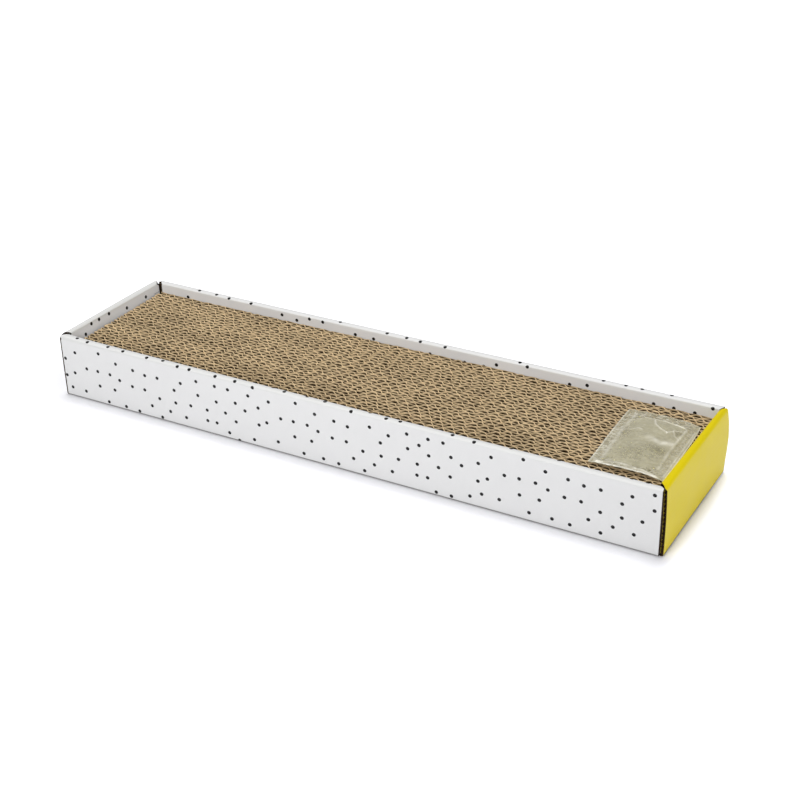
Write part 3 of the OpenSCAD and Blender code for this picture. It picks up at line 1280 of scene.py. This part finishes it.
class Pad:
    """The scratching pad of glued strips."""

    def __init__(self, effects: Effects, record: dict) -> None:
        """Finds the strips in the frame.

        Args:
            effects: The shared node groups.
            record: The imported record.
        """
        self.effects = effects
        self.nodes = sorted(record["behaviour"]["bodies"]["pad"])

    def build(self) -> None:
        """Builds all the strips."""
        material = PAD_KRAFT.material(self.effects)
        half_depth = max(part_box(node)[1].y for node in self.nodes) / MM
        for number, node in enumerate(self.nodes):
            low, high = (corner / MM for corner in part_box(node))
            mesh = PadStrip(number, low, high, half_depth).build(node + "_paper", material)
            place_piece(mesh, "pad", node)


# Sachet


@dataclass(frozen=True)
class Crease:
    """A crease of the film: its points in the frame, its height and its half width."""

    points: tuple[Point, ...]
    height: float
    spread: float

    def share(self, x: float, y: float) -> float:
        """Gives how near a place is to the crease.

        Args:
            x: Place along the tray.
            y: Place across the tray.

        Returns:
            One on the crease, falling to zero beside it.
        """
        near = math.inf
        for (ax, ay), (bx, by) in zip(self.points, self.points[1:]):
            dx, dy = bx - ax, by - ay
            along = unit(((x - ax) * dx + (y - ay) * dy) / (dx * dx + dy * dy))
            near = min(near, math.hypot(x - ax - along * dx, y - ay - along * dy))
        return math.exp(-((near / self.spread) ** 2))


@dataclass(frozen=True)
class Patch:
    """A round patch of the film that clings to the herb, or lies clear of it."""

    x: float
    y: float
    reach_x: float
    reach_y: float
    haze: float = 1.0

    def share(self, x: float, y: float) -> float:
        """Gives the patch's strength at a place, from 0 to 1."""
        return math.exp(-(((x - self.x) / self.reach_x) ** 2) - ((y - self.y) / self.reach_y) ** 2)


class Sachet:
    """The clear sachet of dried catnip: two sealed films and the loose herb between them."""

    film = 0.12
    border = 7.5
    columns = 108
    rows = 166
    headroom = 1.5
    curl = 2.7
    curl_from = -29.0
    curl_reach = 12.0
    curl_middle = 207.0
    curl_half = 24.0
    ripple = 0.35
    smooth_from = 220.0
    flakes = 3800
    batch = 100
    seed = 77
    stalks = 0.2
    heap = 2.6
    curled_corner = Patch(183, -38, 6, 5)
    creases = (
        # Edges of the pouch
        Crease(((183, 35), (192.5, 31), (201, 31), (213, 28.5), (222, 28)), 0.8, 0.8),
        Crease(((184.5, 34), (184, 13), (185, -12), (186.5, -31)), 0.3, 1.6),
        Crease(((223, 27), (222.5, -4), (223.5, -28)), 0.5, 1.0),
        Crease(((228.5, 27), (229, -4), (229.5, -36)), 0.35, 0.7),
        Crease(((186, -38), (196, -34.5), (206, -34.8), (216, -36.5), (225, -38.8)), 1.1, 1.3),
        # Folds where the pouch's corner is drawn in
        Crease(((199.5, 29.5), (203, 21), (208, 16.5), (213.5, 14.5), (216.5, 19), (221, 22)), 0.7, 0.7),
        Crease(((216.5, 19), (219, 13.5), (222.5, 11)), 0.6, 0.6),
        Crease(((190, 9), (194, 12), (197, 11)), 0.5, 0.7),
        Crease(((186, -33), (189, -37)), 0.6, 0.6),
        Crease(((206, 2), (214, -1), (221, 3)), 0.12, 2.6),
    )
    patches = (
        Patch(205, -20, 15, 10, -0.2),
        Patch(216, -9, 7, 6, -0.26),
        Patch(219.5, 18.5, 3.5, 3.5, -0.28),
        Patch(203, 14, 14, 14, -0.02),
        Patch(190, 4, 5, 7, -0.16),
        Patch(226, -12, 3, 6, 0.1),
    )

    def __init__(self) -> None:
        """Reads the sachet's place from the frame."""
        self.low, self.high = (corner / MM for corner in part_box("sachet_back_film"))
        self.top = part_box("sachet_front_film")[1].z / MM
        self.middle = (self.low + self.high) / 2
        self.half = (self.high - self.low) / 2

    def _place(self, u: float, v: float) -> Point:
        """Gives the place of a point of the film, whose sides are a little bowed.

        Args:
            u: Share of the half width, from -1 to 1.
            v: Share of the half length, from -1 to 1.

        Returns:
            Places along and across the tray.
        """
        left = self.low.x + 0.2 + 2.6 * ((1 - v) / 2) ** 2
        right = self.high.x - 0.3 - 1.8 * max(v, 0) ** 2
        near = self.low.y + 0.4 + 0.5 * u * u + 0.25 * math.sin(5 * u)
        far = self.high.y - 1.8 - 4.2 * max(u, 0) ** 2.5 - 1.8 * max(-u, 0) ** 4
        return left + (right - left) * (u + 1) / 2, near + (far - near) * (v + 1) / 2

    def _pillow(self, x: float, y: float) -> float:
        """Gives the share of the sachet's swell at a place.

        Args:
            x: Place along the tray.
            y: Place across the tray.

        Returns:
            A share from 0 at the seals to 1.
        """
        inner_x = min(abs(x - self.middle.x - 0.5) / (self.half.x - self.border), 1)
        inner_y = min(abs(y - self.middle.y + 1.5) / (self.half.y - self.border), 1)
        return (1 - inner_x**3) * (1 - inner_y**5)

    def _lift(self, x: float, y: float) -> float:
        """Gives how far the sachet is raised off the pad, most at its curled near border.

        Args:
            x: Place along the tray.
            y: Place across the tray.

        Returns:
            The lift in millimetres.
        """
        curled = self.curl * unit((self.curl_from - y) / self.curl_reach) ** 1.2
        curled *= max(0.0, 1 - abs((x - self.curl_middle) / self.curl_half) ** 3)
        rippled = self.ripple * max(0.0, wander(x / 12, y / 14, 7.7)) * (1 - self._pillow(x, y))
        return curled + self.curled_corner.share(x, y) + rippled

    def _relief(self, x: float, y: float) -> tuple[float, float, float]:
        """Gives the front film's creases and cloudiness at a place.

        Args:
            x: Place along the tray.
            y: Place across the tray.

        Returns:
            Height of the creases, haze, and the share of a painted highlight on the creases.
        """
        height, ridge = 0.0, 0.0
        for crease in self.creases:
            share = crease.share(x, y) * (0.75 + 0.5 * wander(x / 5, y / 5, crease.height * 9))
            height += crease.height * share
            ridge = max(ridge, share)
        crinkle = max(1 - abs(wander(x / 3.2, y / 2.6, 4.4)) * 3.4, 0)
        border = 1 - min(self._pillow(x, y) * 2.5, 1)
        # The border at the yellow end lies smoother and cloudier
        smooth = unit((x - self.smooth_from) / 4)
        rough = border * (1 - 0.7 * smooth)
        height += crinkle * (0.1 + 0.3 * rough)
        # Creases and crinkles, most on the rough border, get the painted highlight
        ridge = max(ridge * 0.7, crinkle * (0.1 + 0.55 * rough))
        haze = 0.5 - 0.26 * border * (1 - 0.5 * smooth) + 0.4 * ridge
        if border > 0.3 and y > 25:
            haze -= 0.13
        return height, haze + sum(patch.haze * patch.share(x, y) for patch in self.patches), ridge

    def _film(self, name: str, front: bool, material: Material) -> Mesh:
        """Makes one film.

        Args:
            name: Name of its mesh.
            front: Whether it is the upper film.
            material: The clear film.

        Returns:
            Its mesh, in metres.
        """
        sheet = bmesh.new()
        bmesh.ops.create_grid(sheet, x_segments=self.columns, y_segments=self.rows, size=1.0)
        hazes, ridge_highlights = (sheet.verts.layers.float.new(key) for key in ("haze", "ridge"))
        for vert in sheet.verts:
            u, v, _ = vert.co
            x, y = self._place(u, v)
            z = self.low.z + 0.1 + self._lift(x, y)
            # The near border is curled up, and its edge gets a painted highlight as a bright lip
            lip = math.exp(-(((1 + v) * self.half.y / 2.6) ** 2)) * unit(8 * (0.92 - abs(u)))
            haze, ridge = 0.25 + 0.6 * lip, 0.0
            if front:
                height, haze, ridge = self._relief(x, y)
                # The film's side, far and near edges get a painted highlight and more haze
                side_edge_highlight = 0.8 * math.exp(-(((1 - abs(u)) * self.half.x / 0.8) ** 2))
                rim = max(side_edge_highlight, 0.4 * math.exp(-(((1 - v) * self.half.y / 0.7) ** 2)), lip)
                ridge, haze = max(ridge, rim), haze + 0.55 * rim
                slack = wander(x / 10, y / 13, 1.3) + 0.5 * wander(x / 4.5, y / 6, 8.8)
                full = (self.top - self.high.z - self.headroom) * (0.82 + 0.16 * slack)
                z += self.film + 0.1 + height + self._pillow(x, y) * full
            vert[hazes], vert[ridge_highlights] = haze, min(ridge, 1)
            vert.co = Vector((x, y, z))
        sheet.normal_update()
        bmesh.ops.solidify(sheet, geom=sheet.faces[:], thickness=self.film)
        bmesh.ops.recalc_face_normals(sheet, faces=sheet.faces[:])
        for face in sheet.faces:
            face.smooth = True
        return write_mesh(name, sheet, [material])

    def _herb(self, name: str, material: Material) -> Mesh:
        """Makes the loose herb as flakes and short stalks, most where the pouch is full.

        Args:
            name: Name of its mesh.
            material: The dried herb.

        Returns:
            Its mesh, in metres.
        """
        draw = random.Random(self.seed)
        heap, batch = bmesh.new(), bmesh.new()
        tones: list[float] = []
        for count in range(self.flakes):
            # A long bmesh grows slower with every flake
            if count % self.batch == self.batch - 1:
                append_shape(heap, batch)
                batch = bmesh.new()
            x = self.middle.x + draw.uniform(-0.76, 0.76) * self.half.x
            y = self.middle.y + draw.uniform(-0.84, 0.8) * self.half.y
            swell = self._pillow(x, y)
            if draw.random() > swell * (1.0 if y < 8 else 0.6):
                continue
            z = self.high.z + 0.35 + self._lift(x, y) + draw.random() * swell * self.heap
            if draw.random() < self.stalks:
                size = (draw.uniform(1.0, 2.8), 0.36, 0.3, 1)
            else:
                size = (draw.uniform(0.6, 1.8), draw.uniform(0.5, 1.2), 0.25, 1)
            turn = Matrix.Rotation(draw.uniform(0, math.pi), 4, "Z")
            tilt = Matrix.Rotation(draw.uniform(-0.4, 0.4), 4, "X")
            place = Matrix.Translation((x, y, z)) @ turn @ tilt @ Matrix.Diagonal(size)
            made = bmesh.ops.create_icosphere(batch, subdivisions=1, radius=0.5, matrix=place)
            tones += [draw.random() ** 1.4] * len(made["verts"])
        append_shape(heap, batch)
        return write_mesh(name, heap, [material], tones)

    def build(self) -> None:
        """Builds the films and the herb."""
        film = CLEAR_FILM.material()
        place_piece(self._film("sachet_back", False, film), "sachet", "sachet_back_film")
        front = self._film("sachet_front", True, film)
        piece = place_piece(front, "sachet", "sachet_front_film")
        place_piece(self._herb("catnip_flakes", HERB.material()), "sachet", "catnip_fill")


# Studio


@dataclass(frozen=True)
class Lamp:
    """A sun with its spread in degrees, or an area lamp with its size in metres, aimed at the tray."""

    name: str
    kind: str
    place: tuple[float, float, float]
    spread: float
    power: float

    def build(self) -> None:
        """Hangs the lamp, which the camera doesn't see."""
        data = bpy.data.lights.new(self.name, self.kind)
        if self.kind == "SUN":
            data.angle = math.radians(self.spread)
        else:
            data.size = self.spread
        data.energy = self.power
        lamp = add_object(self.name, data)
        lamp.visible_camera = False
        lamp.location = self.place
        lamp.rotation_euler = (-Vector(self.place)).to_track_quat("-Z", "Y").to_euler()


@dataclass(frozen=True)
class Studio:
    """Camera, floor and light of the photograph."""

    position: tuple[float, float, float] = (479.0, -799.8, 526.5)
    yaw: float = -29.86
    pitch: float = 28.3
    roll: float = -1.35
    focal_pixels: float = 1469.35
    picture_pixels: float = 800.0
    sensor: float = 36.0
    floor_half: float = 6000.0
    lamps: tuple[Lamp, ...] = (
        Lamp("over", "SUN", (-0.12, 0.34, 2.1), 19.0, 1.45),
        Lamp("side", "SUN", (2.0, -0.5, 0.75), 50.0, 0.38),
        Lamp("fill", "AREA", (-0.03, -0.9, 0.45), 0.5, 4.7),
    )

    def _camera(self) -> None:
        """Sets up the camera at the photograph's place."""
        data = bpy.data.cameras.new("camera")
        data.sensor_width = self.sensor
        data.lens = self.focal_pixels / self.picture_pixels * self.sensor
        data.clip_start, data.clip_end = 0.05, 50.0
        camera = add_object("camera", data)
        camera.matrix_world = Matrix.Translation(Vector(self.position) * MM)
        for angle, axis in ((-self.yaw, "Z"), (90 - self.pitch, "X"), (self.roll, "Z")):
            camera.matrix_world = camera.matrix_world @ Matrix.Rotation(math.radians(angle), 4, axis)
        bpy.context.scene.camera = camera

    def _floor_material(self) -> Material:
        """Makes the floor's material, grey to the light and white to the camera.

        Returns:
            The material.
        """
        material = bpy.data.materials.new("floor")
        material.use_nodes = True
        tree = Tree(material.node_tree)
        tree.tree.nodes.clear()
        grey = tree.add("BsdfDiffuse", {"Color": (0.64, 0.64, 0.64, 1.0)})
        bright = tree.add("BsdfDiffuse", {"Color": (0.93, 0.93, 0.96, 1.0)})
        place = tree.place()
        # The floor fades to plain white away from the tray
        squeeze = {0: place, 1: (1.15, 2.4, 1.0), 2: (0.0, 0.07, 0.0)}
        oval = tree.add("VectorMath", squeeze, operation="MULTIPLY_ADD")
        away = tree.add("VectorMath", {0: oval.outputs[0]}, operation="LENGTH").outputs["Value"]
        glow = tree.add("Emission", {"Color": WHITE, "Strength": tree.ramp(away, 0.29, 0.38, 0.0, 0.35)})
        # The yellow end tints the floor beside it, and a cool painted glow there lifts that tint and the
        # shade. The yellow end tints the floor beside it, which the photograph doesn't show
        beside = tree.ramp(tree.add("SeparateXYZ", {0: place}).outputs[0], 0.24, 0.257, 0.0, 0.4)
        cool_painted_glow = tree.add("Emission", {"Color": (0.6, 0.68, 1.0, 1.0), "Strength": beside})
        path = tree.add("LightPath", {}).outputs
        through = tree.math("MAXIMUM", path["Is Glossy Ray"], path["Is Transmission Ray"])
        seen = tree.math("MAXIMUM", path["Is Camera Ray"], through)
        for light in (glow, cool_painted_glow):
            bright = tree.add("AddShader", {0: bright.outputs[0], 1: light.outputs[0]})
        mixed = tree.add("MixShader", {0: seen, 1: grey.outputs[0], 2: bright.outputs[0]})
        tree.add("OutputMaterial", {"Surface": mixed.outputs[0]})
        return material

    def _world(self) -> None:
        """Sets up the soft light all round, brighter for the camera."""
        world = bpy.data.worlds.new("studio")
        bpy.context.scene.world = world
        world.use_nodes = True
        tree = Tree(world.node_tree)
        seen = tree.add("LightPath", {}).outputs["Is Camera Ray"]
        background = world.node_tree.nodes["Background"]
        tree.feed(background, {"Strength": tree.ramp(seen, 0.0, 1.0, 0.38, 1.0), "Color": WHITE})

    def build(self) -> None:
        """Sets up the camera, lays the floor and lights them."""
        self._camera()
        sheet = bmesh.new()
        bmesh.ops.create_grid(sheet, x_segments=2, y_segments=2, size=self.floor_half)
        floor = add_object("floor", write_mesh("floor", sheet, [self._floor_material()]))
        self._world()
        for lamp in self.lamps:
            lamp.build()
        bpy.context.scene.view_settings.view_transform = "Standard"


def main() -> None:
    """Builds the dressed scratcher and its studio."""
    logging.basicConfig(level=logging.INFO, format="%(name)s: %(message)s")
    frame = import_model()
    effects = Effects()
    Tray(effects).build()
    Pad(effects, frame["record"]).build()
    Sachet().build()
    Studio().build()


if __name__ == "__main__":
    main()
